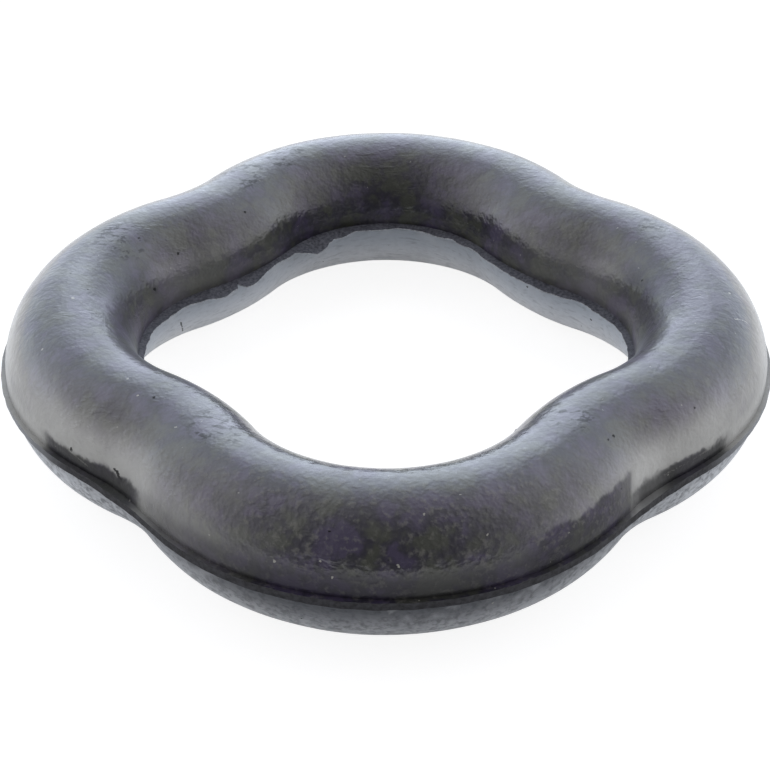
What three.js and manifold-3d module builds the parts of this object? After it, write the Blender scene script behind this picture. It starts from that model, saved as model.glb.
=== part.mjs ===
// Hanger for an exhaust pipe: a closed ring of solid rubber, moulded in one piece.
// A round bar runs in a ring with a lobe on each side and a shallow waist between two lobes,
// so that a hook lying in a lobe can't slide along to the next one.
// The mould parts at half the bar's height, where a thin flash stands out of the bar all round.
// Outside, a blade cut the flash off, straight across each waist. Inside, it was torn off ragged.
// Millimetres. The ring lies flat, +Z is up, and the origin is under its middle.

import * as THREE from "three";
import { ParametricGeometry } from "three/addons/geometries/ParametricGeometry.js";
import { mergeVertices } from "three/addons/utils/BufferGeometryUtils.js";
import Module from "manifold-3d";

// The path of the bar, seen from above: arcs that meet without a corner.
const LOBES = 4;
const LOBE_OFFSET = 11.6; // from the ring's middle to the centre of a lobe's arc
const LOBE_RADIUS = 18.2; // arc of the bar's middle line round a lobe
const WAIST_RADIUS = 18.3; // arc of the bar's middle line at a waist, curved the other way

// The section of the bar: an oval, a little higher than it is wide.
const BAR_WIDTH = 12.4;
const BAR_HEIGHT = 14.4;

// The flash along the parting line: thick where it was cut, thin where it was torn.
const CUT_FLASH_THICKNESS = 0.8;
const CUT_FLASH_WIDTH = 0.5; // how far the cut edge stands out of a lobe
const CUT_WAIST_RADIUS = 60; // the blade ran in this wide arc past a waist, and left a web in it
const TORN_FLASH_THICKNESS = 0.4;

// The torn inner edge: where along the ring in degrees, and how far it stands out of the bar.
// Degrees count anticlockwise from +X, seen from above, with the photographed front at -Y.
const INNER_FLASH = [
  [0, 0.6],
  [13, 0.8],
  [27, 1.1],
  [34, 1.2],
  [42, 0.9],
  [64, 0.8],
  [76, 1],
  [88, 0.9],
  [97, 1.2],
  [104, 1.6],
  [106.3, 1.5],
  [107.4, 2], // a wide flap, with a step at one end
  [110, 2.3],
  [114, 2.1],
  [117.6, 1.6],
  [119.6, 0.7],
  [126, 0.55],
  [131, 0.8],
  [136, 1.3],
  [141.4, 1.6],
  [142, 0.7], // a nick
  [142.9, 0.7],
  [143.5, 1.5],
  [151, 1.5],
  [158, 1.3],
  [165, 1],
  [173, 0.7],
  [186, 0.6],
  [205, 0.8],
  [232, 0.7],
  [258, 0.9],
  [283, 0.7],
  [309.8, 0.8],
  [311.4, 1.9], // a short flap
  [316, 2],
  [317.4, 0.8],
  [338, 0.7],
];

// How finely the curves are divided.
const LOBE_STEPS = 22;
const WAIST_STEPS = 6;
const SECTION_SIDES = 28;
const CLOSEST_POINTS = 0.1;

const middleHeight = BAR_HEIGHT / 2;
const between = (2 * Math.PI) / LOBES;

const middle = new THREE.Vector2();
const lobeCentre = new THREE.Vector2(LOBE_OFFSET, 0);

// A station is a point on a line round the ring, with the direction that points out of the ring.
function station(centre, radius, turn, quarter) {
  const out = new THREE.Vector2(1, 0).rotateAround(middle, turn);
  const at = centre.clone().addScaledVector(out, radius);
  return {
    at: at.rotateAround(middle, quarter),
    out: out.rotateAround(middle, quarter),
  };
}

// A line with a lobe on each side. A waist's arc touches the arcs of the lobes on both sides of it.
function lobedLine(lobeRadius, waistRadius) {
  const halfGap = LOBE_OFFSET * Math.sin(between / 2);
  const reach = Math.sqrt((lobeRadius + waistRadius) ** 2 - halfGap ** 2);
  const waistDistance = LOBE_OFFSET * Math.cos(between / 2) + reach;
  const waistCentre = new THREE.Vector2(waistDistance, 0).rotateAround(middle, between / 2);
  const lobeEnd = waistCentre.clone().sub(lobeCentre).angle();

  const line = [];
  for (let lobe = 0; lobe < LOBES; lobe++) {
    for (let step = 0; step < LOBE_STEPS; step++) {
      const turn = THREE.MathUtils.lerp(-lobeEnd, lobeEnd, step / LOBE_STEPS);
      line.push(station(lobeCentre, lobeRadius, turn, lobe * between));
    }
    for (let step = 0; step < WAIST_STEPS; step++) {
      const turn = THREE.MathUtils.lerp(lobeEnd, between - lobeEnd, step / WAIST_STEPS);
      line.push(station(waistCentre, -waistRadius, turn, lobe * between));
    }
  }
  return line;
}

const stations = lobedLine(LOBE_RADIUS, WAIST_RADIUS);
const cutStations = lobedLine(LOBE_RADIUS + BAR_WIDTH / 2 + CUT_FLASH_WIDTH, CUT_WAIST_RADIUS);

// The bar: its oval section carried once round the path, with a flat side up, down, in and out.
const sideTurn = (2 * Math.PI) / SECTION_SIDES;
const cornerReach = 1 / Math.cos(sideTurn / 2);

function barSurface(along, round, target) {
  const { at, out } = stations[Math.round(along * stations.length) % stations.length];
  const turn = (Math.round(round * SECTION_SIDES) % SECTION_SIDES) * sideTurn + sideTurn / 2;
  const side = (BAR_WIDTH / 2) * cornerReach * Math.cos(turn);
  const up = (BAR_HEIGHT / 2) * cornerReach * Math.sin(turn);
  target.set(at.x + out.x * side, at.y + out.y * side, middleHeight + up);
}

const bar = new ParametricGeometry(barSurface, stations.length, SECTION_SIDES);

// The width of the torn flash at one direction, between the two nearest rows of its table.
function innerFlashWidth(degrees) {
  const last = INNER_FLASH.length - 1;
  for (let row = 0; row <= last; row++) {
    const [from, width] = INNER_FLASH[row];
    const [to, nextWidth] = row < last ? INNER_FLASH[row + 1] : [360, INNER_FLASH[0][1]];
    if (degrees >= from && degrees <= to) {
      return THREE.MathUtils.mapLinear(degrees, from, to, width, nextWidth);
    }
  }
  return INNER_FLASH[0][1];
}

function degreesOf(point) {
  return THREE.MathUtils.radToDeg(point.angle());
}

// The station at one direction, on the straight line between the two next to it.
function stationTowards(degrees) {
  for (let index = 0; index < stations.length; index++) {
    const a = stations[index];
    const b = stations[(index + 1) % stations.length];
    const start = degreesOf(a.at);
    const span = THREE.MathUtils.euclideanModulo(degreesOf(b.at) - start, 360);
    const past = THREE.MathUtils.euclideanModulo(degrees - start, 360);
    if (past <= span) {
      const share = past / span;
      return {
        at: a.at.clone().lerp(b.at, share),
        out: a.out.clone().lerp(b.out, share).normalize(),
      };
    }
  }
  return stations[0];
}

// The torn edge inside the ring, with a point for every row of its table.
const tornStations = INNER_FLASH.map(([degrees]) => stationTowards(degrees));
const tornEdge = [...stations, ...tornStations]
  .sort((a, b) => a.at.angle() - b.at.angle())
  .filter((entry, index, all) => index === 0 || entry.at.distanceTo(all[index - 1].at) > CLOSEST_POINTS)
  .map(({ at, out }) => at.clone().addScaledVector(out, -BAR_WIDTH / 2 - innerFlashWidth(degreesOf(at))));

// Each flash is a thin flat plate that starts on the bar's middle line and stands out of the bar.
const cutEdge = cutStations.map(({ at }) => at);
const middleLine = stations.map(({ at }) => at);

function flashPlate(outerLine, innerLine, thickness) {
  const plate = new THREE.Shape(outerLine);
  plate.holes.push(new THREE.Path(innerLine));
  const geometry = new THREE.ExtrudeGeometry(plate, { depth: thickness, bevelEnabled: false });
  return geometry.translate(0, 0, middleHeight - thickness / 2);
}

const cutFlash = flashPlate(cutEdge, middleLine, CUT_FLASH_THICKNESS);
const tornFlash = flashPlate(middleLine, tornEdge, TORN_FLASH_THICKNESS);

// Bar and flash are one moulding, so they are joined into one solid.
const wasm = await Module();
wasm.setup();

function toSolid(geometry) {
  const bare = new THREE.BufferGeometry();
  bare.setAttribute("position", geometry.getAttribute("position"));
  bare.setIndex(geometry.getIndex());
  const joined = mergeVertices(bare, 1e-4);
  const mesh = new wasm.Mesh({
    numProp: 3,
    vertProperties: new Float32Array(joined.getAttribute("position").array),
    triVerts: new Uint32Array(joined.getIndex().array),
  });
  return new wasm.Manifold(mesh);
}

function toGeometry(solid) {
  const mesh = solid.getMesh();
  const geometry = new THREE.BufferGeometry();
  geometry.setAttribute("position", new THREE.BufferAttribute(mesh.vertProperties, 3));
  geometry.setIndex(new THREE.BufferAttribute(mesh.triVerts, 1));
  const faceted = geometry.toNonIndexed();
  faceted.computeVertexNormals();
  return faceted;
}

const moulding = wasm.Manifold.union([toSolid(bar), toSolid(cutFlash), toSolid(tornFlash)]);

const rubber = new THREE.MeshStandardMaterial({ color: 0x34353a, roughness: 0.45, metalness: 0 });
const ring = new THREE.Mesh(toGeometry(moulding), rubber);
ring.name = "rubber_ring";

const hanger = new THREE.Group();
hanger.name = "exhaust_hanger";
hanger.add(ring);

export default hanger;
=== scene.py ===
# %% [markdown]
# # Exhaust hanger: a moulded rubber ring
# The hanger is one piece of black rubber. A round bar runs in a closed ring with four lobes,
# and four shallow waists between them. It is built here as it was designed: one oval section,
# swept along arcs, with the thin flash that the mould left at half its height.

import math
from types import SimpleNamespace
import bmesh
import bpy
from mathutils import Matrix, Vector, noise


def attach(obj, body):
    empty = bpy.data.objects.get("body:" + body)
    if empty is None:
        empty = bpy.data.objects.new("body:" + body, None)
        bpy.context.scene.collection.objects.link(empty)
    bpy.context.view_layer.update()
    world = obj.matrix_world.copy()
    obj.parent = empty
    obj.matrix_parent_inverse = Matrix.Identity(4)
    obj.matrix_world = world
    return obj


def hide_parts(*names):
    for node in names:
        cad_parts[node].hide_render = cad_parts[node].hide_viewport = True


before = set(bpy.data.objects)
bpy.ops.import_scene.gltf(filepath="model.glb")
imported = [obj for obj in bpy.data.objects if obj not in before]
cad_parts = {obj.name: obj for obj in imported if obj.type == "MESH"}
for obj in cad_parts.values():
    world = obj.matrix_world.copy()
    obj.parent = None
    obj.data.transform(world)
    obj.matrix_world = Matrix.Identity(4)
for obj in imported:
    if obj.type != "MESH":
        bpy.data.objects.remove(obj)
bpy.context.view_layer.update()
print("nodes:", sorted(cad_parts))

MM = 0.001
bpy.context.scene.view_settings.view_transform = "Standard"

# %% [markdown]
# ## Sizes
# These are the sizes of the part's source, in millimetres. The path of the bar is made of arcs
# that touch each other: a long one round each lobe, and a short one at each waist. The line
# along which the flash was cut off is drawn the same way, with a much wider arc past a waist.

# %% Sizes
LOBE_OFFSET = 11.6
LOBE_RADIUS = 18.2
WAIST_RADIUS = 18.3
BAR_WIDTH = 12.4
BAR_HEIGHT = 14.4
CUT_FLASH_THICKNESS = 0.8
CUT_FLASH_WIDTH = 0.5
CUT_WAIST_RADIUS = 60.0
TORN_FLASH_THICKNESS = 0.4
MIDDLE = BAR_HEIGHT / 2


def touching_arc(lobe_radius, waist_radius):
    """The centre of a waist's arc in the first quarter, and where the lobe's arc ends there."""
    half_gap = LOBE_OFFSET / math.sqrt(2)
    distance = half_gap + math.sqrt((lobe_radius + waist_radius) ** 2 - half_gap ** 2)
    centre = Vector((distance, distance, 0)) / math.sqrt(2)
    return centre, math.atan2(centre.y, centre.x - LOBE_OFFSET)


lobe_centre = Vector((LOBE_OFFSET, 0, 0))
waist_centre, lobe_end = touching_arc(LOBE_RADIUS, WAIST_RADIUS)
waist_turn = 2 * lobe_end - math.pi / 2
cut_lobe_radius = LOBE_RADIUS + BAR_WIDTH / 2 + CUT_FLASH_WIDTH
cut_centre, cut_lobe_end = touching_arc(cut_lobe_radius, CUT_WAIST_RADIUS)
print("a lobe turns %.1f degrees, a waist %.1f" % (math.degrees(2 * lobe_end), math.degrees(waist_turn)))

# %% [markdown]
# The torn flash inside the ring has no even width. Each row says where along the ring, in degrees
# anticlockwise from +X, and how far the rubber stands out there.

# %% Widths of the flash
TORN_FLASH = [
    (0, 0.6), (13, 0.8), (27, 1.1), (34, 1.2), (42, 0.9), (64, 0.8), (76, 1.0), (88, 0.9), (97, 1.2),
    (104, 1.6), (106.3, 1.5), (107.4, 2.0), (110, 2.3), (114, 2.1), (117.6, 1.6), (119.6, 0.7),
    (126, 0.55), (131, 0.8), (136, 1.3), (141.4, 1.6), (142, 0.7), (142.9, 0.7), (143.5, 1.5),
    (151, 1.5), (158, 1.3), (165, 1.0), (173, 0.7), (186, 0.6), (205, 0.8), (232, 0.7), (258, 0.9),
    (283, 0.7), (309.8, 0.8), (311.4, 1.9), (316, 2.0), (317.4, 0.8), (338, 0.7), (360, 0.6),
]


def torn_width(degrees):
    """How far the torn flash stands out of the bar, between the two nearest rows."""
    for (a, wide_a), (b, wide_b) in zip(TORN_FLASH, TORN_FLASH[1:]):
        if a <= degrees <= b:
            return wide_a + (wide_b - wide_a) * (degrees - a) / (b - a)
    return TORN_FLASH[0][1]


def cut_width(point, out):
    """How far it is from a point on the bar's outer side to the line of the cut, found by halving."""
    near, far = 0.0, 4.0
    for _ in range(16):
        width = (near + far) / 2
        y, x = sorted((abs(point.x + out.x * width), abs(point.y + out.y * width)))
        if math.atan2(y, x - LOBE_OFFSET) < cut_lobe_end:
            past = math.hypot(x - LOBE_OFFSET, y) > cut_lobe_radius
        else:
            past = math.hypot(x - cut_centre.x, y - cut_centre.y) < CUT_WAIST_RADIUS
        near, far = (near, width) if past else (width, far)
    return near


print("the cut flash is %.2f mm wide at a lobe" % cut_width(Vector((36, 0, 0)), Vector((1, 0, 0))))

# %% [markdown]
# ## Sweep the bar
# A circle is stretched to the oval section and spun about the centre of each arc in turn.
# Every spin starts from the section that the last one ended with, and the last one closes the ring.

# %% Sweep the bar
SECTION_SIDES = 96
LOBE_STEPS = 120
WAIST_STEPS = 26
CLOSING_GAP = 0.01

bm = bmesh.new()
section = bmesh.ops.create_circle(bm, segments=SECTION_SIDES, radius=1)["verts"]
half_step = Matrix.Rotation(math.pi / SECTION_SIDES, 4, "Z")
to_oval = Matrix.Diagonal((BAR_WIDTH / 2, BAR_HEIGHT / 2, 1, 1))
upright = Matrix.Rotation(math.pi / 2, 4, "X")
to_lobe = Matrix.Translation((LOBE_OFFSET + LOBE_RADIUS, 0, MIDDLE))
bmesh.ops.transform(bm, matrix=to_lobe @ upright @ to_oval @ half_step, verts=section)
bmesh.ops.rotate(bm, verts=section, cent=lobe_centre, matrix=Matrix.Rotation(-lobe_end, 3, "Z"))

leading = bm.verts[:] + bm.edges[:]
for quarter in range(4):
    turned = Matrix.Rotation(quarter * math.pi / 2, 3, "Z")
    for centre, angle, steps in (
        (lobe_centre, 2 * lobe_end, LOBE_STEPS),
        (waist_centre, -waist_turn, WAIST_STEPS),
    ):
        about = {"cent": turned @ centre, "axis": (0, 0, 1), "angle": angle, "steps": steps}
        leading = bmesh.ops.spin(bm, geom=leading, **about)["geom_last"]
bmesh.ops.remove_doubles(bm, verts=bm.verts, dist=CLOSING_GAP)
bmesh.ops.recalc_face_normals(bm, faces=bm.faces)
bm.normal_update()
print("bar:", len(bm.faces), "faces")

# %% [markdown]
# ## Fill the waists
# Outside, the mould was rounded where a waist meets the parting line, so the rubber swells there
# from the bar's side out to the cut. The swelling is pushed out row by row, most at the middle.

# %% Fill the waists
SWELLING_HEIGHT = 1.5
SWELLING_SHARE = 0.75
THINNEST_WEB = 0.05

swollen = 0
for vert in bm.verts:
    above = abs(vert.co.z - MIDDLE) - CUT_FLASH_THICKNESS / 2
    out = Vector((vert.normal.x, vert.normal.y, 0)).normalized()
    if above < SWELLING_HEIGHT and out.dot(vert.co) > 0:
        web = cut_width(vert.co, out) - CUT_FLASH_WIDTH
        share = SWELLING_SHARE * (1 - max(0, above) / SWELLING_HEIGHT)
        if web > THINNEST_WEB:
            vert.co += out * (web * share * (0.85 + 0.3 * noise.noise(vert.co * 0.4)))
            swollen += 1
print("points moved in the waists:", swollen)

# %% [markdown]
# ## Raise the flash
# The strips of faces at half the height are where the two halves of the mould met. They are
# extruded out of the bar, as far as the cut outside, and in a torn and curled edge inside.
# The blade chattered a little, and the torn edge is ragged, so noise moves both lines.

# %% Strips at the parting line
UPRIGHT = 0.3
THIN_SHARE = 0.45


def strip_faces(inside, reach):
    """The upright faces within a reach of the parting line, on the inner or the outer side."""
    found = []
    for face in bm.faces:
        middle = face.calc_center_median()
        if abs(middle.z - MIDDLE) < reach and abs(face.normal.z) < UPRIGHT:
            faces_in = face.normal.x * middle.x + face.normal.y * middle.y < 0
            if faces_in == inside:
                found.append(face)
    return found


def cut_thickness(point):
    """Full thickness in front and in the front waists, thinner at the sides and the back."""
    to_front = -point.y / math.hypot(point.x, point.y)
    share = min(1, max(0, (to_front - 0.2) / 0.3))
    return CUT_FLASH_THICKNESS * (THIN_SHARE + (1 - THIN_SHARE) * share)


def torn_thickness(point):
    """The same thickness everywhere inside."""
    return TORN_FLASH_THICKNESS


def extrude_strip(faces, thickness):
    """Narrows a strip to a thickness, extrudes it, and gives its new points with their way out."""
    points = {vert for face in faces for vert in face.verts}
    tallest = max(abs(vert.co.z - MIDDLE) for vert in points)
    for vert in points:
        vert.co.z = MIDDLE + (vert.co.z - MIDDLE) * thickness(vert.co) / 2 / tallest
    raised = bmesh.ops.extrude_face_region(bm, geom=faces)["geom"]
    bmesh.ops.delete(bm, geom=[face for face in faces if face.is_valid], context="FACES")
    bm.normal_update()
    tip_faces = [item for item in raised if isinstance(item, bmesh.types.BMFace)]
    outward = {}
    for vert in {vert for face in tip_faces for vert in face.verts}:
        total = sum((face.normal for face in vert.link_faces if face in tip_faces), Vector())
        outward[vert] = Vector((total.x, total.y, 0)).normalized()
    return tip_faces, outward


# %% Cut flash outside
CUT_STRIP_REACH = 0.55
LEAST_CUT = 0.1
CUT_SHORT = 0.08

cut_faces, outward = extrude_strip(strip_faces(False, CUT_STRIP_REACH), cut_thickness)
for vert, out in outward.items():
    place = Vector((vert.co.x, vert.co.y, 0))
    chatter = 0.06 * noise.noise(place * 0.7) + 0.03 * noise.noise(place * 3)
    vert.co += out * max(LEAST_CUT, cut_width(place, out) - CUT_SHORT + chatter)
for face in cut_faces:
    face.material_index = 1
print("faces along the cut:", len(cut_faces))

# %% Torn flash inside
TORN_STRIP_REACH = 0.05
LEAST_TORN = 0.25
TIP_TAPER = 0.45

torn_faces, outward = extrude_strip(strip_faces(True, TORN_STRIP_REACH), torn_thickness)
for vert, out in outward.items():
    place = Vector((vert.co.x, vert.co.y, 0))
    wide = torn_width(math.degrees(math.atan2(place.y, place.x)) % 360)
    ragged = noise.noise(place * 1.1) * 0.12 + noise.noise(place * 2.9) * 0.08
    wide = wide * (1 + 0.25 * noise.noise(place * 0.35)) + ragged * min(1.3, wide)
    wide = max(LEAST_TORN, wide)
    curl = (noise.noise(place * 0.4 + Vector((7, 0, 0))) * 0.3 - 0.06) * wide
    vert.co += out * wide
    vert.co.z = MIDDLE + (vert.co.z - MIDDLE) * TIP_TAPER + curl
    for face in vert.link_faces:
        face.material_index = 2
for face in torn_faces:
    face.material_index = 3
print("faces along the tear:", len(torn_faces))

# %% [markdown]
# ## Hand-made unevenness
# Rubber comes out of the mould a little uneven. The surface sinks by up to a tenth of a millimetre
# in soft patches, except along the foot, which stays on the table.

# %% Unevenness
SINK_DEPTH = 0.09
FOOT_TOP = 0.2
FOOT_FADE = 1.5

bm.normal_update()
for vert in bm.verts:
    foot = min(1, max(0, (vert.co.z - FOOT_TOP) / FOOT_FADE))
    sink = 0.5 + 0.5 * noise.noise(vert.co * 0.09) + 0.25 * noise.noise(vert.co * 0.3)
    vert.co -= vert.normal * SINK_DEPTH * max(0, sink) * foot

# %% [markdown]
# ## One mesh
# The ring is turned to metres and shaded smooth, except at the sharp edges of the flash. It stands for
# the one node of the fixed frame.

# %% One mesh
SHARP = math.radians(35)

for vert in bm.verts:
    vert.co *= MM
for face in bm.faces:
    face.smooth = True
for edge in bm.edges:
    edge.smooth = edge.calc_face_angle(0) < SHARP
print("open edges:", sum(not edge.is_manifold for edge in bm.edges))

mesh = bpy.data.meshes.new("hanger_ring")
bm.to_mesh(mesh)
bm.free()
ring = bpy.data.objects.new("hanger_ring", mesh)
bpy.context.scene.collection.objects.link(ring)
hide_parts("rubber_ring")
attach(ring, "root")
print("ring:", len(mesh.polygons), "faces")

# %% [markdown]
# ## Marks left by use
# The ring has small pits, nicks, scratches and specks of dust, each at its own place. A place is given
# by the direction along the ring, and by the turn round the section from its outer side over the top.

# %% Places on the ring


def place_on_ring(along, turn):
    """A place on the bar's surface in mm, from two directions in degrees."""
    quarter = round(along / 90) * 90
    angle = math.radians(along - quarter)
    if abs(angle) < path_lobe_end:
        reach = LOBE_OFFSET * math.cos(angle)
        reach += math.sqrt(LOBE_RADIUS ** 2 - (LOBE_OFFSET * math.sin(angle)) ** 2)
        at = Vector((reach * math.cos(angle), reach * math.sin(angle), 0))
        out = (at - lobe_centre).normalized()
    else:
        to_waist = math.pi / 4 - abs(angle)
        distance = waist_centre.length
        reach = distance * math.cos(to_waist)
        reach -= math.sqrt(WAIST_RADIUS ** 2 - (distance * math.sin(to_waist)) ** 2)
        at = Vector((reach * math.cos(abs(angle)), reach * math.sin(abs(angle)), 0))
        out = (waist_centre - at).normalized()
        if angle < 0:
            at.y, out.y = -at.y, -out.y
    turn = math.radians(turn)
    point = at + out * (BAR_WIDTH / 2 * math.cos(turn))
    point.z = MIDDLE + BAR_HEIGHT / 2 * math.sin(turn)
    return Matrix.Rotation(math.radians(quarter), 3, "Z") @ point


lobe_tip = lobe_centre + Vector((math.cos(lobe_end), math.sin(lobe_end), 0)) * LOBE_RADIUS
path_lobe_end = math.atan2(lobe_tip.y, lobe_tip.x)

# degrees along, degrees round, radius in mm
PITS = [
    (336.5, 128, 0.24), (157.5, 113, 0.16), (150.5, 141, 0.15), (162.5, 157, 0.2), (181, 109, 0.11),
    (176.5, 90, 0.11), (132.5, 128, 0.14), (222.5, 79, 0.15), (309, 57, 0.15), (307, 58, 0.13),
    (330, 46, 0.13), (11.5, 137, 0.13), (27, 199, 0.15), (43.5, 190, 0.14), (211, 15, 0.18),
]
SPECKS = [
    (358.5, 70, 0.14), (359.5, 57, 0.12), (185, 97, 0.14), (196.5, 60, 0.14), (214.5, 85, 0.14),
    (219, 74, 0.1), (233, 71, 0.1), (275, 61, 0.12), (271.5, 27, 0.13), (257, 21, 0.12),
    (280.5, 72, 0.1), (282.5, 40, 0.12), (262.5, 27, 0.1), (264, 17, 0.1),
]
CHAFED = [
    (124, 88, 3.0), (113, 88, 2.6), (161, 104, 2.6), (238, 100, 2.8), (307, 92, 2.0), (22, 86, 2.0),
]
# degrees along and round at both ends, radius in mm
NICKS = [
    (221.5, 16, 223, 15.5, 0.1), (223, 15.5, 224, 13, 0.14), (224, 13, 227, 11, 0.09),
    (153.5, 202, 151, 220, 0.07),
]
SCRATCHES = [(351.5, 66, 352.5, 60, 0.06), (352.5, 60, 353, 53, 0.06)]
DRAG_LINES = [
    (247, 349, 255, 358, 0.1), (209, 15, 214, 9, 0.07), (318, 10, 331, 12, 0.08),
    (320, 16, 333, 19, 0.07),
]
print("marks:", sum(map(len, (PITS, SPECKS, CHAFED, NICKS, SCRATCHES, DRAG_LINES))))

# %% [markdown]
# ## The rubber
# Moulded carbon-black rubber. The mould left it satin, and handling rubbed its top shiny, while dust
# and bloom lie on its sides and its lower half; the pale colour there also holds painted reflection and
# painted light thrown up by the white table. A painted picture could show the same, but it would fit
# one ring only. Here every pattern is drawn by nodes on Object coordinates turned to millimetres, so
# its scale is that of the real thing.

# %% Material helpers


def linear(code):
    """Turns a six-digit sRGB colour into linear values."""
    channels = [int(code[i:i + 2], 16) / 255 for i in (0, 2, 4)]
    values = [c / 12.92 if c <= 0.04045 else ((c + 0.055) / 1.055) ** 2.4 for c in channels]
    return (*values, 1.0)


def add(tree, kind, inputs=None, **settings):
    """Adds one node, with its settings, and links or values for its inputs."""
    node = tree.nodes.new("ShaderNode" + kind)
    for name, value in settings.items():
        setattr(node, name, value)
    for key, value in (inputs or {}).items():
        if isinstance(value, bpy.types.NodeSocket):
            tree.links.new(value, node.inputs[key])
        else:
            node.inputs[key].default_value = value
    return node


def noise_of(tree, vector, scale, detail, roughness):
    """Soft noise, with its scale in features to a millimetre."""
    settings = {"Vector": vector, "Scale": scale, "Detail": detail, "Roughness": roughness}
    return add(tree, "TexNoise", settings).outputs["Fac"]


def ramp(tree, value, low, high, to_low, to_high):
    """Carries one range smoothly into another."""
    settings = {"Value": value, "From Min": low, "From Max": high, "To Min": to_low, "To Max": to_high}
    return add(tree, "MapRange", settings, interpolation_type="SMOOTHSTEP").outputs[0]


def math_of(tree, operation, *values, **settings):
    """One sum, with values or links."""
    return add(tree, "Math", dict(enumerate(values)), operation=operation, **settings).outputs[0]


def product(tree, *values):
    """Where all the masks are at once."""
    total = values[0]
    for value in values[1:]:
        total = math_of(tree, "MULTIPLY", total, value)
    return total


def without(tree, value, *masks):
    """A value that falls to nothing where a mask is one."""
    for mask in masks:
        value = product(tree, value, math_of(tree, "SUBTRACT", 1.0, mask))
    return value


def either(tree, a, b):
    """Where one mask or the other is."""
    return math_of(tree, "MAXIMUM", a, b)


def blend_colours(tree, share, a, b):
    """From one colour to another, by a share."""
    return add(tree, "Mix", {0: share, 6: a, 7: b}, data_type="RGBA").outputs[2]


def blend(tree, share, code_a, code_b):
    """The same, from two sRGB codes."""
    return blend_colours(tree, share, linear(code_a), linear(code_b))


def start_material(name):
    """A bare node tree, with its output and the object's own coordinates in mm."""
    mat = bpy.data.materials.new(name)
    mat.use_nodes = True
    tree = mat.node_tree
    tree.nodes.clear()
    out = add(tree, "OutputMaterial")
    where = add(tree, "TexCoord")
    to_mm = {0: where.outputs["Object"], 1: (1000, 1000, 1000)}
    mm = add(tree, "VectorMath", to_mm, operation="MULTIPLY").outputs[0]
    return mat, tree, out, where, mm


# %% [markdown]
# Each mark is a mask, which is one where the mark is and falls to nothing around it. The distance to the
# mark's place gives it, so that a mark keeps its true size in millimetres.

# %% Marks as masks


def dots(tree, mm, places):
    """One at each of the places, and nothing elsewhere."""
    mask = None
    for along, turn, size in places:
        to_place = {0: mm, 1: place_on_ring(along, turn)}
        away = add(tree, "VectorMath", to_place, operation="DISTANCE").outputs["Value"]
        dot = ramp(tree, away, size * 0.75, size * 1.25, 1, 0)
        mask = dot if mask is None else either(tree, mask, dot)
    return mask


def lines(tree, mm, places):
    """One along each line between two places."""
    mask = None
    for along_a, turn_a, along_b, turn_b, size in places:
        start, end = place_on_ring(along_a, turn_a), place_on_ring(along_b, turn_b)
        way = end - start
        from_start = add(tree, "VectorMath", {0: mm, 1: start}, operation="SUBTRACT").outputs[0]
        share = add(tree, "VectorMath", {0: from_start, 1: way}, operation="DOT_PRODUCT").outputs["Value"]
        share = math_of(tree, "MULTIPLY", share, 1 / way.length_squared, use_clamp=True)
        passed = add(tree, "VectorMath", {0: way, "Scale": share}, operation="SCALE").outputs[0]
        to_line = {0: from_start, 1: passed}
        away = add(tree, "VectorMath", to_line, operation="DISTANCE").outputs["Value"]
        line = ramp(tree, away, size * 0.7, size * 1.5, 1, 0)
        mask = line if mask is None else either(tree, mask, line)
    return mask


def scattered(tree, mm, spacing, size, share):
    """Dots of a size in mm, one to a cell of the spacing, in a share of the cells."""
    cells = add(tree, "TexVoronoi", {"Vector": mm, "Scale": 1 / spacing})
    dot = ramp(tree, cells.outputs["Distance"], size / spacing * 0.6, size / spacing, 1, 0)
    draw = add(tree, "SeparateXYZ", {0: cells.outputs["Color"]}).outputs[0]
    return product(tree, dot, math_of(tree, "LESS_THAN", draw, share))


# %% [markdown]
# All parts of the rubber's look share a few measures and noises. The measures say how high a point is,
# whether it faces into the ring, how far it is to a side, and whether it is in front. The noises run
# from broad patches to fine grain, and one of them is drawn out into short strokes.

# %% Measures and noises of the rubber
FRONT_WAIST = math.radians(39)


def rubber_patterns(tree, where, mm):
    """What the parts of the rubber's look share, all on the object's own coordinates in mm."""
    on = SimpleNamespace(mm=mm)
    place = add(tree, "SeparateXYZ", {0: mm})
    on.x, on.y, on.height = place.outputs["X"], place.outputs["Y"], place.outputs["Z"]
    on.to_side = math_of(tree, "ABSOLUTE", on.x)
    flat = add(tree, "VectorMath", {0: mm, 1: (1, 1, 0)}, operation="MULTIPLY").outputs[0]
    along_normal = {0: where.outputs["Normal"], 1: flat}
    facing = add(tree, "VectorMath", along_normal, operation="DOT_PRODUCT").outputs["Value"]
    on.inside = ramp(tree, facing, -6, 4, 1, 0)
    on.outside = ramp(tree, on.inside, 0, 1, 1, 0)
    on.aside = ramp(tree, on.to_side, 8, 24, 0, 1)
    on.front = ramp(tree, on.y, -20, -31, 0, 1)

    on.patches = noise_of(tree, mm, 0.12, 2.0, 0.5)
    on.mottle = noise_of(tree, mm, 0.45, 3.0, 0.65)
    on.grain = noise_of(tree, mm, 1.8, 2.0, 0.6)
    on.tint = noise_of(tree, mm, 0.3, 3.0, 0.65)
    drawn_out = add(tree, "VectorMath", {0: mm, 1: (0.5, 1.3, 2.6)}, operation="MULTIPLY").outputs[0]
    on.strokes = noise_of(tree, drawn_out, 1.0, 2.0, 0.6)

    # the direction from the ring's middle to a front waist is 39 degrees off the sides
    bearing = math_of(tree, "ARCTAN2", math_of(tree, "MULTIPLY", on.y, -1.0), on.to_side)
    on.off_waist = math_of(tree, "ABSOLUTE", math_of(tree, "SUBTRACT", bearing, FRONT_WAIST))
    on.ragged_height = math_of(tree, "MULTIPLY_ADD", on.mottle, 1.6, on.height)
    return on


# %% [markdown]
# Some places stayed dark: the rubber along the flash where the front waists dip, which is painted shade
# in that recess, a smear on the front lobe with a sharp end at the right waist, and the inner walls of the
# two side lobes, which are kept dark as painted shade where they face the ring's own other side.

# %% Dark places
SMEAR_END = 20.2


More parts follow.
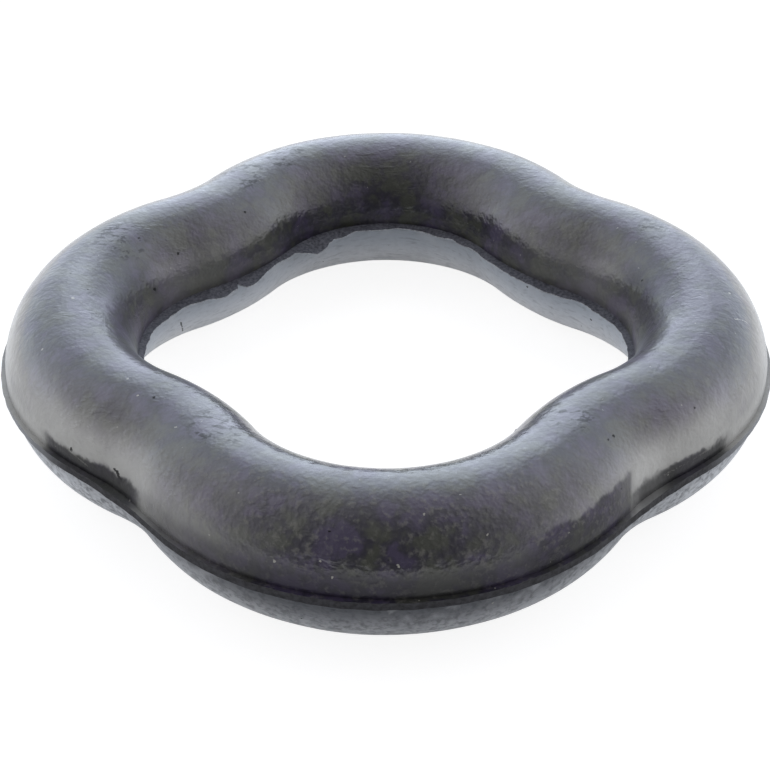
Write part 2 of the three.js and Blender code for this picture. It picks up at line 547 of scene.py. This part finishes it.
def painted_shade_in_waists(tree, on):
    """Painted shade: the dark rubber along the flash in the two front waists, where the recess is in shade.
    """
    waist = ramp(tree, on.off_waist, math.radians(13), math.radians(8), 0, 1)
    return product(tree, waist, ramp(tree, on.ragged_height, 10.1, 9.4, 0, 1), on.outside)


def dark_smear(tree, on):
    """The smear on the front lobe, which ends sharply where the right waist begins."""
    smear = product(tree, ramp(tree, on.x, 9, 14, 0, 1), ramp(tree, on.x, SMEAR_END, SMEAR_END + 0.5, 1, 0))
    smear = product(tree, smear, ramp(tree, on.ragged_height, 11.9, 11.1, 0, 0.8))
    return product(tree, smear, ramp(tree, on.y, -15, -19, 0, 1))


def painted_shade_on_inner_walls(tree, on):
    """Painted shade on the inner walls of the two side lobes, which face the ring's own other side."""
    ends = product(tree, on.inside, ramp(tree, on.to_side, 16, 20, 0, 1))
    ends = product(tree, ends, ramp(tree, on.height, 13.2, 11.5, 0, 0.65))
    return product(tree, ends, ramp(tree, on.y, -7, -3, 0, 1), ramp(tree, on.y, 9, 5, 0, 1))


# %% [markdown]
# Bloom is the pale film that wax leaves when it comes out of old rubber. It lies on the outer flanks,
# grows towards the parting line, and is most at the two sides and beside the front waists. The pale colour
# here is partly bloom and partly painted reflection of the tent's bright side walls and the white table.

# %% Bloom


def bloom_and_painted_reflection(tree, on, web, smear, ends):
    """How much bloom and painted reflection lie on the upper half."""
    bloom_and_reflection = product(tree, ramp(tree, on.height, 13.6, 9.5, 0, 1), on.aside, on.outside)
    bloom_and_reflection = product(tree, bloom_and_reflection, ramp(tree, on.mottle, 0.35, 0.65, 0.75, 1.0))
    bloom_and_reflection = product(tree, bloom_and_reflection, ramp(tree, smear, 0, 0.8, 0.8, 0))
    at_side = ramp(tree, on.to_side, 22, 30, 0, 1)
    low_side = product(tree, ramp(tree, on.height, 9.8, 7.8, 0, 0.6), at_side, on.outside)
    haze = product(tree, on.inside, on.aside, ramp(tree, on.height, 12.5, 10.5, 0, 0.3))
    near_waist = ramp(tree, on.off_waist, math.radians(17), math.radians(9), 0, 0.3)
    beside_waist = product(tree, near_waist, on.outside, ramp(tree, on.height, 13, 10.5, 0, 1))
    for more in (low_side, haze, beside_waist):
        bloom_and_reflection = math_of(tree, "ADD", bloom_and_reflection, more)
    # no bloom in the painted shade along the web and on the inner walls of the side lobes
    return without(tree, product(tree, bloom_and_reflection, ramp(tree, web, 0, 1, 1, 0)), ends)


def painted_highlight_strip(tree, on):
    """A painted highlight: the pale strip between the end of the smear and the waist, where the hollow of the
    waist reflects the light.
    """
    start = ramp(tree, on.x, SMEAR_END + 0.4, SMEAR_END + 1, 0, 1)
    strip = product(tree, start, ramp(tree, on.x, 22.4, 24.6, 1, 0))
    return product(tree, strip, ramp(tree, on.y, -17, -21, 0, 1), ramp(tree, on.height, 11.8, 9.5, 0, 0.9))


# %% Dust on the upper half


def fine_dust(tree, on):
    """Dust caught by the grain, most on the front lobe."""
    dust = product(tree, ramp(tree, on.grain, 0.48, 0.72, 0, 1), ramp(tree, on.mottle, 0.4, 0.6, 0.2, 1))
    return product(tree, dust, ramp(tree, on.front, 0, 1, 0.15, 0.42))


# %% [markdown]
# The bare rubber is nearly black, in clouds of more violet and more olive grey. Bloom with painted
# reflection, the painted highlight strip and dust are laid over it, and then the painted shade along the
# flash in the front waists and just above the flash in front. The smear and the inner walls of the side
# lobes are bare rubber, because the bloom leaves them out; on the inner walls this is painted shade.

# %% Colour of the upper half


def upper_colour(tree, on, web, bloom_and_reflection, dust):
    """Black rubber with bloom and painted reflection on its flanks, a painted highlight strip, dust and
    painted shade.
    """
    colour = blend(tree, on.mottle, "1c1924", "302e37")
    colour = blend_colours(tree, ramp(tree, on.tint, 0.5, 0.62, 0, 0.75), colour, linear("40384f"))
    colour = blend_colours(tree, ramp(tree, on.tint, 0.5, 0.38, 0, 0.75), colour, linear("3d3f33"))
    # pale bloom on the flanks, partly painted reflection of the bright tent walls
    colour = blend_colours(tree, bloom_and_reflection, colour, linear("a4a39e"))
    # painted highlight in the hollow of the right front waist
    colour = blend_colours(tree, painted_highlight_strip(tree, on), colour, linear("b4b3ae"))
    colour = blend_colours(tree, dust, colour, linear("77756e"))
    # painted shade along the flash where the front waists dip
    colour = blend_colours(tree, product(tree, web, 0.85), colour, linear("111113"))
    # painted shade: the front lobe is painted darkest just above the flash
    shaded = product(tree, on.front, on.outside, ramp(tree, on.height, 10.4, 8.8, 0, 0.5))
    return blend_colours(tree, shaded, colour, linear("181520"))


# %% [markdown]
# The lower half is dusty, and it has stains, which are strongest in front. It is darker right under the
# flash and paler towards the foot, at the sides and inside the ring, partly from dust and partly as painted
# light thrown up by the white table.

# %% Colour of the lower half


def lower_colour(tree, on):
    """Grey dust with stains, and painted light from the white table."""
    # painted light: paler towards the foot, at the sides and inside, as if lit from the white table
    deeper = ramp(tree, on.height, 6.6, 2.5, 0, 1)
    depth = math_of(tree, "ADD", deeper, product(tree, on.aside, 0.6), use_clamp=True)
    dust_and_painted_bounce = blend(tree, depth, "505256", "a6a8ab")
    at_side = product(tree, depth, ramp(tree, on.to_side, 19, 28, 0, 0.7))
    dust_and_painted_bounce = blend_colours(tree, at_side, dust_and_painted_bounce, linear("d4d7da"))
    within = blend(tree, ramp(tree, on.height, 6.6, 1.5, 0, 1), "c2c9d0", "fafbfc")
    dust_and_painted_bounce = blend_colours(tree, product(tree, on.inside, 0.85), dust_and_painted_bounce, within)

    stains = product(tree, ramp(tree, on.grain, 0.36, 0.66, 0, 1), ramp(tree, on.mottle, 0.35, 0.65, 0.2, 1))
    stains = product(tree, stains, ramp(tree, on.y, -20, -6, 1, 0.35), ramp(tree, on.inside, 0, 1, 0.9, 0.25))
    stained = blend_colours(tree, stains, dust_and_painted_bounce, linear("303236"))
    stained = blend_colours(tree, ramp(tree, on.strokes, 0.5, 0.75, 0, 0.3), stained, linear("5c6066"))
    return blend_colours(tree, ramp(tree, on.mottle, 0.5, 0.7, 0, 0.35), stained, linear("d2d4d6"))


# %% [markdown]
# The single marks come last. Their coordinates are shifted a little by noise, so that no pit or speck
# is a perfect circle, and a few more pits and specks are scattered over the whole ring.

# %% Single marks


def chafed_places(tree, on):
    """Short dark strokes where something rubbed."""
    strokes = product(tree, dots(tree, on.mm, CHAFED), ramp(tree, on.strokes, 0.5, 0.58, 0, 1))
    return product(tree, strokes, ramp(tree, on.grain, 0.42, 0.52, 0, 1))


def pits_and_specks(tree, mm):
    """The masks of the dark marks and of the pale ones."""
    shift = add(tree, "TexNoise", {"Vector": mm, "Scale": 6.0, "Detail": 0.0}).outputs["Color"]
    to_ragged = {0: shift, 1: (0.2, 0.2, 0.2), 2: mm}
    ragged = add(tree, "VectorMath", to_ragged, operation="MULTIPLY_ADD").outputs[0]
    ragged = add(tree, "VectorMath", {0: ragged, 1: (0.1, 0.1, 0.1)}, operation="SUBTRACT").outputs[0]
    pits = either(tree, dots(tree, ragged, PITS), lines(tree, ragged, NICKS))
    pits = either(tree, pits, scattered(tree, ragged, 2.4, 0.11, 0.5))
    specks = either(tree, dots(tree, ragged, SPECKS), lines(tree, ragged, SCRATCHES))
    specks = either(tree, specks, product(tree, scattered(tree, ragged, 1.2, 0.09, 0.35), 0.6))
    return pits, either(tree, specks, product(tree, lines(tree, ragged, DRAG_LINES), 0.2))


# %% [markdown]
# Handling keeps the top of the ring shiny, as if it had a thin coat, while its sides go dull. Pits,
# chafed places, dust and the smear break the shine.

# %% Shine


def shine(tree, on, pits, chafed, dust, smear, ends):
    """The weight of the coat."""
    coat = product(tree, ramp(tree, on.height, 8, 11.5, 0, 1), ramp(tree, on.patches, 0.3, 0.7, 1.0, 0.85))
    coat = product(tree, coat, ramp(tree, pits, 0, 1, 1, 0), ramp(tree, chafed, 0, 1, 1, 0.55))
    coat = product(tree, coat, ramp(tree, dust, 0, 0.5, 1, 0.75), ramp(tree, smear, 0, 0.8, 1, 0.2))
    coat = product(tree, coat, ramp(tree, on.mottle, 0.35, 0.6, 1.0, 0.86))
    dulled = product(tree, on.inside, ramp(tree, on.y, -3, -9, 0, 0.35), ramp(tree, on.to_side, 15, 20, 0, 1))
    return without(tree, coat, dulled, ends)


def roughness_of(tree, on, lower):
    """Satin in patches, and rougher on the dusty lower half."""
    rough = ramp(tree, on.patches, 0.35, 0.65, 0.3, 0.4)
    rough = math_of(tree, "ADD", rough, ramp(tree, on.grain, 0.3, 0.7, -0.02, 0.05))
    return math_of(tree, "ADD", rough, product(tree, lower, 0.2))


def relief_of(tree, on):
    """The fine unevenness that the light catches."""
    scuffs = product(tree, ramp(tree, on.strokes, 0.5, 0.7, 0, 1), ramp(tree, on.patches, 0.5, 0.62, 0, 1))
    relief = math_of(tree, "MULTIPLY_ADD", on.grain, 0.35, product(tree, on.mottle, 1.4))
    relief = math_of(tree, "MULTIPLY_ADD", scuffs, 0.3, relief)
    return add(tree, "Bump", {"Height": relief, "Strength": 0.55, "Distance": 0.12 * MM}).outputs[0]


# %% Moulded rubber


def rubber_material():
    """Rubber with carbon black in it, cured in a steel mould and never cut."""
    mat, tree, out, where, mm = start_material("moulded_black_rubber")
    on = rubber_patterns(tree, where, mm)
    web, smear, ends = painted_shade_in_waists(tree, on), dark_smear(tree, on), painted_shade_on_inner_walls(tree, on)
    dust = fine_dust(tree, on)
    lower = ramp(tree, on.height, MIDDLE - 0.25, MIDDLE - 0.7, 0, 1)
    chafed = chafed_places(tree, on)
    pits, specks = pits_and_specks(tree, mm)

    upper = upper_colour(tree, on, web, bloom_and_painted_reflection(tree, on, web, smear, ends), dust)
    colour = blend_colours(tree, lower, upper, lower_colour(tree, on))
    colour = blend_colours(tree, product(tree, chafed, 0.8), colour, linear("0c0c0e"))
    colour = blend_colours(tree, pits, colour, linear("040405"))
    colour = blend_colours(tree, specks, colour, linear("96948c"))

    relief = relief_of(tree, on)
    shader = add(tree, "BsdfPrincipled", {
        "Base Color": colour,
        "Roughness": roughness_of(tree, on, lower),
        "Normal": relief,
        "Specular IOR Level": 0.25,
        "Coat Weight": shine(tree, on, pits, chafed, dust, smear, ends),
        "Coat Roughness": 0.2,
        "Coat IOR": 1.75,
        "Coat Normal": relief,
        "Sheen Weight": 0.3,
        "Sheen Roughness": 0.3,
        "Sheen Tint": linear("e8edf2"),
    })
    tree.links.new(shader.outputs[0], out.inputs["Surface"])
    return mat


# %% [markdown]
# The flash is the same rubber, but a blade or a tear laid it bare. It has no shine, and it is finely
# dragged or torn. At the two sides of the ring it is painted paler, as a painted reflection of the tent's
# bright walls.

# %% Cut and torn rubber


def bare_material(name, code_a, code_b, code_painted_side, roughness, features):
    """Rubber that never touched the mould, cut by a blade or torn off by hand."""
    mat, tree, out, _, mm = start_material(name)
    drag = noise_of(tree, mm, features, 4.0, 0.6)
    to_side = math_of(tree, "ABSOLUTE", add(tree, "SeparateXYZ", {0: mm}).outputs["X"])
    colour = blend(tree, ramp(tree, drag, 0.3, 0.7, 0, 1), code_a, code_b)
    # painted reflection: paler at the two sides of the ring
    colour = blend_colours(tree, ramp(tree, to_side, 27, 33, 0, 0.8), colour, linear(code_painted_side))
    bump = add(tree, "Bump", {"Height": drag, "Strength": 0.5, "Distance": 0.1 * MM})
    shader = add(tree, "BsdfPrincipled", {
        "Base Color": colour,
        "Roughness": roughness,
        "Normal": bump.outputs[0],
        "Specular IOR Level": 0.35,
    })
    tree.links.new(shader.outputs[0], out.inputs["Surface"])
    return mat


ring.data.materials.append(rubber_material())
ring.data.materials.append(bare_material("cut_black_rubber", "161619", "36363a", "9a9c9e", 0.75, 2.5))
ring.data.materials.append(bare_material("torn_skin_of_rubber", "33333a", "5e5f66", "6e7074", 0.55, 3.5))
# the pale torn edge is a painted highlight along the rim of the tear
ring.data.materials.append(bare_material("torn_edge_with_painted_highlight", "8c8e94", "c8cacc", "c8cacc", 0.6, 3.5))
print("materials:", [mat.name for mat in ring.data.materials])

# %% [markdown]
# ## Studio
# The ring lies on a white table inside a light tent that is open towards the camera. The table is
# white to the camera and in reflections. It takes the ring's shadow, and throws back a plain white.

# %% Table
TABLE_HALF = 3.0
TABLE_GLOW = 0.88

floor_mesh = bpy.data.meshes.new("table_top")
fbm = bmesh.new()
bmesh.ops.create_grid(fbm, x_segments=1, y_segments=1, size=TABLE_HALF)
fbm.to_mesh(floor_mesh)
fbm.free()
table = bpy.data.objects.new("table_top", floor_mesh)
bpy.context.scene.collection.objects.link(table)

floor_mat = bpy.data.materials.new("white_table")
floor_mat.use_nodes = True
tree = floor_mat.node_tree
tree.nodes.clear()
out = add(tree, "OutputMaterial")
path = add(tree, "LightPath")
seen = either(tree, path.outputs["Is Camera Ray"], path.outputs["Is Glossy Ray"])
seen = either(tree, seen, path.outputs["Is Transmission Ray"])
plain = add(tree, "BsdfDiffuse", {"Color": linear("f2f2f2")}).outputs[0]
half = add(tree, "BsdfDiffuse", {"Color": linear("8a8a8a")}).outputs[0]
glow = add(tree, "Emission", {"Color": (1, 1, 1, 1), "Strength": TABLE_GLOW}).outputs[0]
both = add(tree, "AddShader", {0: half, 1: glow}).outputs[0]
mixed = add(tree, "MixShader", {0: seen, 1: plain, 2: both}).outputs[0]
tree.links.new(mixed, out.inputs["Surface"])
table.data.materials.append(floor_mat)
print("table:", floor_mat.name)

# %% [markdown]
# The tent is brightest behind the ring, falls off towards the camera, and has two side walls of their
# own. The camera itself sees plain white. No lamp is needed.

# %% Light tent
BEHIND_MIDDLE = 0.66
BEHIND_FALL = 1.85
BEHIND_MOST = 2.7

world = bpy.data.worlds.new("light_tent")
bpy.context.scene.world = world
world.use_nodes = True
tree = world.node_tree
tree.nodes.clear()
out = add(tree, "OutputWorld")
path = add(tree, "LightPath")
direction = add(tree, "TexCoord").outputs["Generated"]
parts = add(tree, "SeparateXYZ", {0: direction})
backward = parts.outputs["Y"]
to_side = math_of(tree, "ABSOLUTE", parts.outputs["X"])
# brightest behind the ring, falling off evenly towards the camera
fall = math_of(tree, "EXPONENT", product(tree, backward, BEHIND_FALL))
behind = math_of(tree, "MINIMUM", product(tree, fall, BEHIND_MIDDLE), BEHIND_MOST)
# the two side walls of the tent, a little darker where they lean in
beside = ramp(tree, backward, -1.3, 0.9, 0.08, 2.3)
walls = {0: ramp(tree, to_side, 0.15, 0.75, 0, 1), 2: behind, 3: beside}
tent = add(tree, "Mix", walls, data_type="FLOAT").outputs[0]
higher = ramp(tree, parts.outputs["Z"], 0.2, 0.5, 0, 1)
leaning = product(tree, ramp(tree, to_side, 0.3, 0.7, 0, 0.12), higher)
# darker corners between the side walls and the back
corner = product(tree, ramp(tree, backward, 0.2, 0.7, 0, 0.35), ramp(tree, to_side, 0.1, 0.35, 0, 1))
tent = without(tree, tent, leaning, corner)
tint = ramp(tree, backward, -0.2, 0.8, 0, 1)
tent_colour = blend(tree, tint, "fcfbff", "e6f0ff")
tent_light = add(tree, "Background", {"Color": tent_colour, "Strength": tent}).outputs[0]
white = add(tree, "Background", {"Color": (1, 1, 1, 1), "Strength": 1.0}).outputs[0]
mixed = add(tree, "MixShader", {0: path.outputs["Is Camera Ray"], 1: tent_light, 2: white}).outputs[0]
tree.links.new(mixed, out.inputs["Surface"])
print("world:", world.name)

# %% [markdown]
# ## Camera
# The camera looks down at the front lobe, from where the ring fills the picture from side to side. Its
# distance and its two shifts are in millimetres, and its angles come from a fit to the ring's outline.

# %% Camera
ELEVATION = math.radians(35.09)
AZIMUTH = math.radians(0.2)
DISTANCE = 162.24
SIDE = -0.12
UP = -3.57
FOCAL_LENGTH = 79.31
SENSOR_WIDTH = 36

camera_data = bpy.data.cameras.new("camera")
camera_data.sensor_width = SENSOR_WIDTH
camera_data.lens = FOCAL_LENGTH
camera_data.clip_start = 10 * MM
camera = bpy.data.objects.new("camera", camera_data)
bpy.context.scene.collection.objects.link(camera)
bpy.context.scene.camera = camera
back = Vector((0, -math.cos(ELEVATION), math.sin(ELEVATION)))
up = Vector((0, math.sin(ELEVATION), math.cos(ELEVATION)))
place = back * DISTANCE + Vector((SIDE, 0, 0)) + up * UP + Vector((0, 0, MIDDLE))
spin = Matrix.Rotation(AZIMUTH, 4, "Z")
tilt = Matrix.Rotation(math.pi / 2 - ELEVATION, 4, "X")
camera.matrix_world = spin @ Matrix.Translation(place * MM) @ tilt
print("camera at", [round(v, 4) for v in camera.matrix_world.translation])
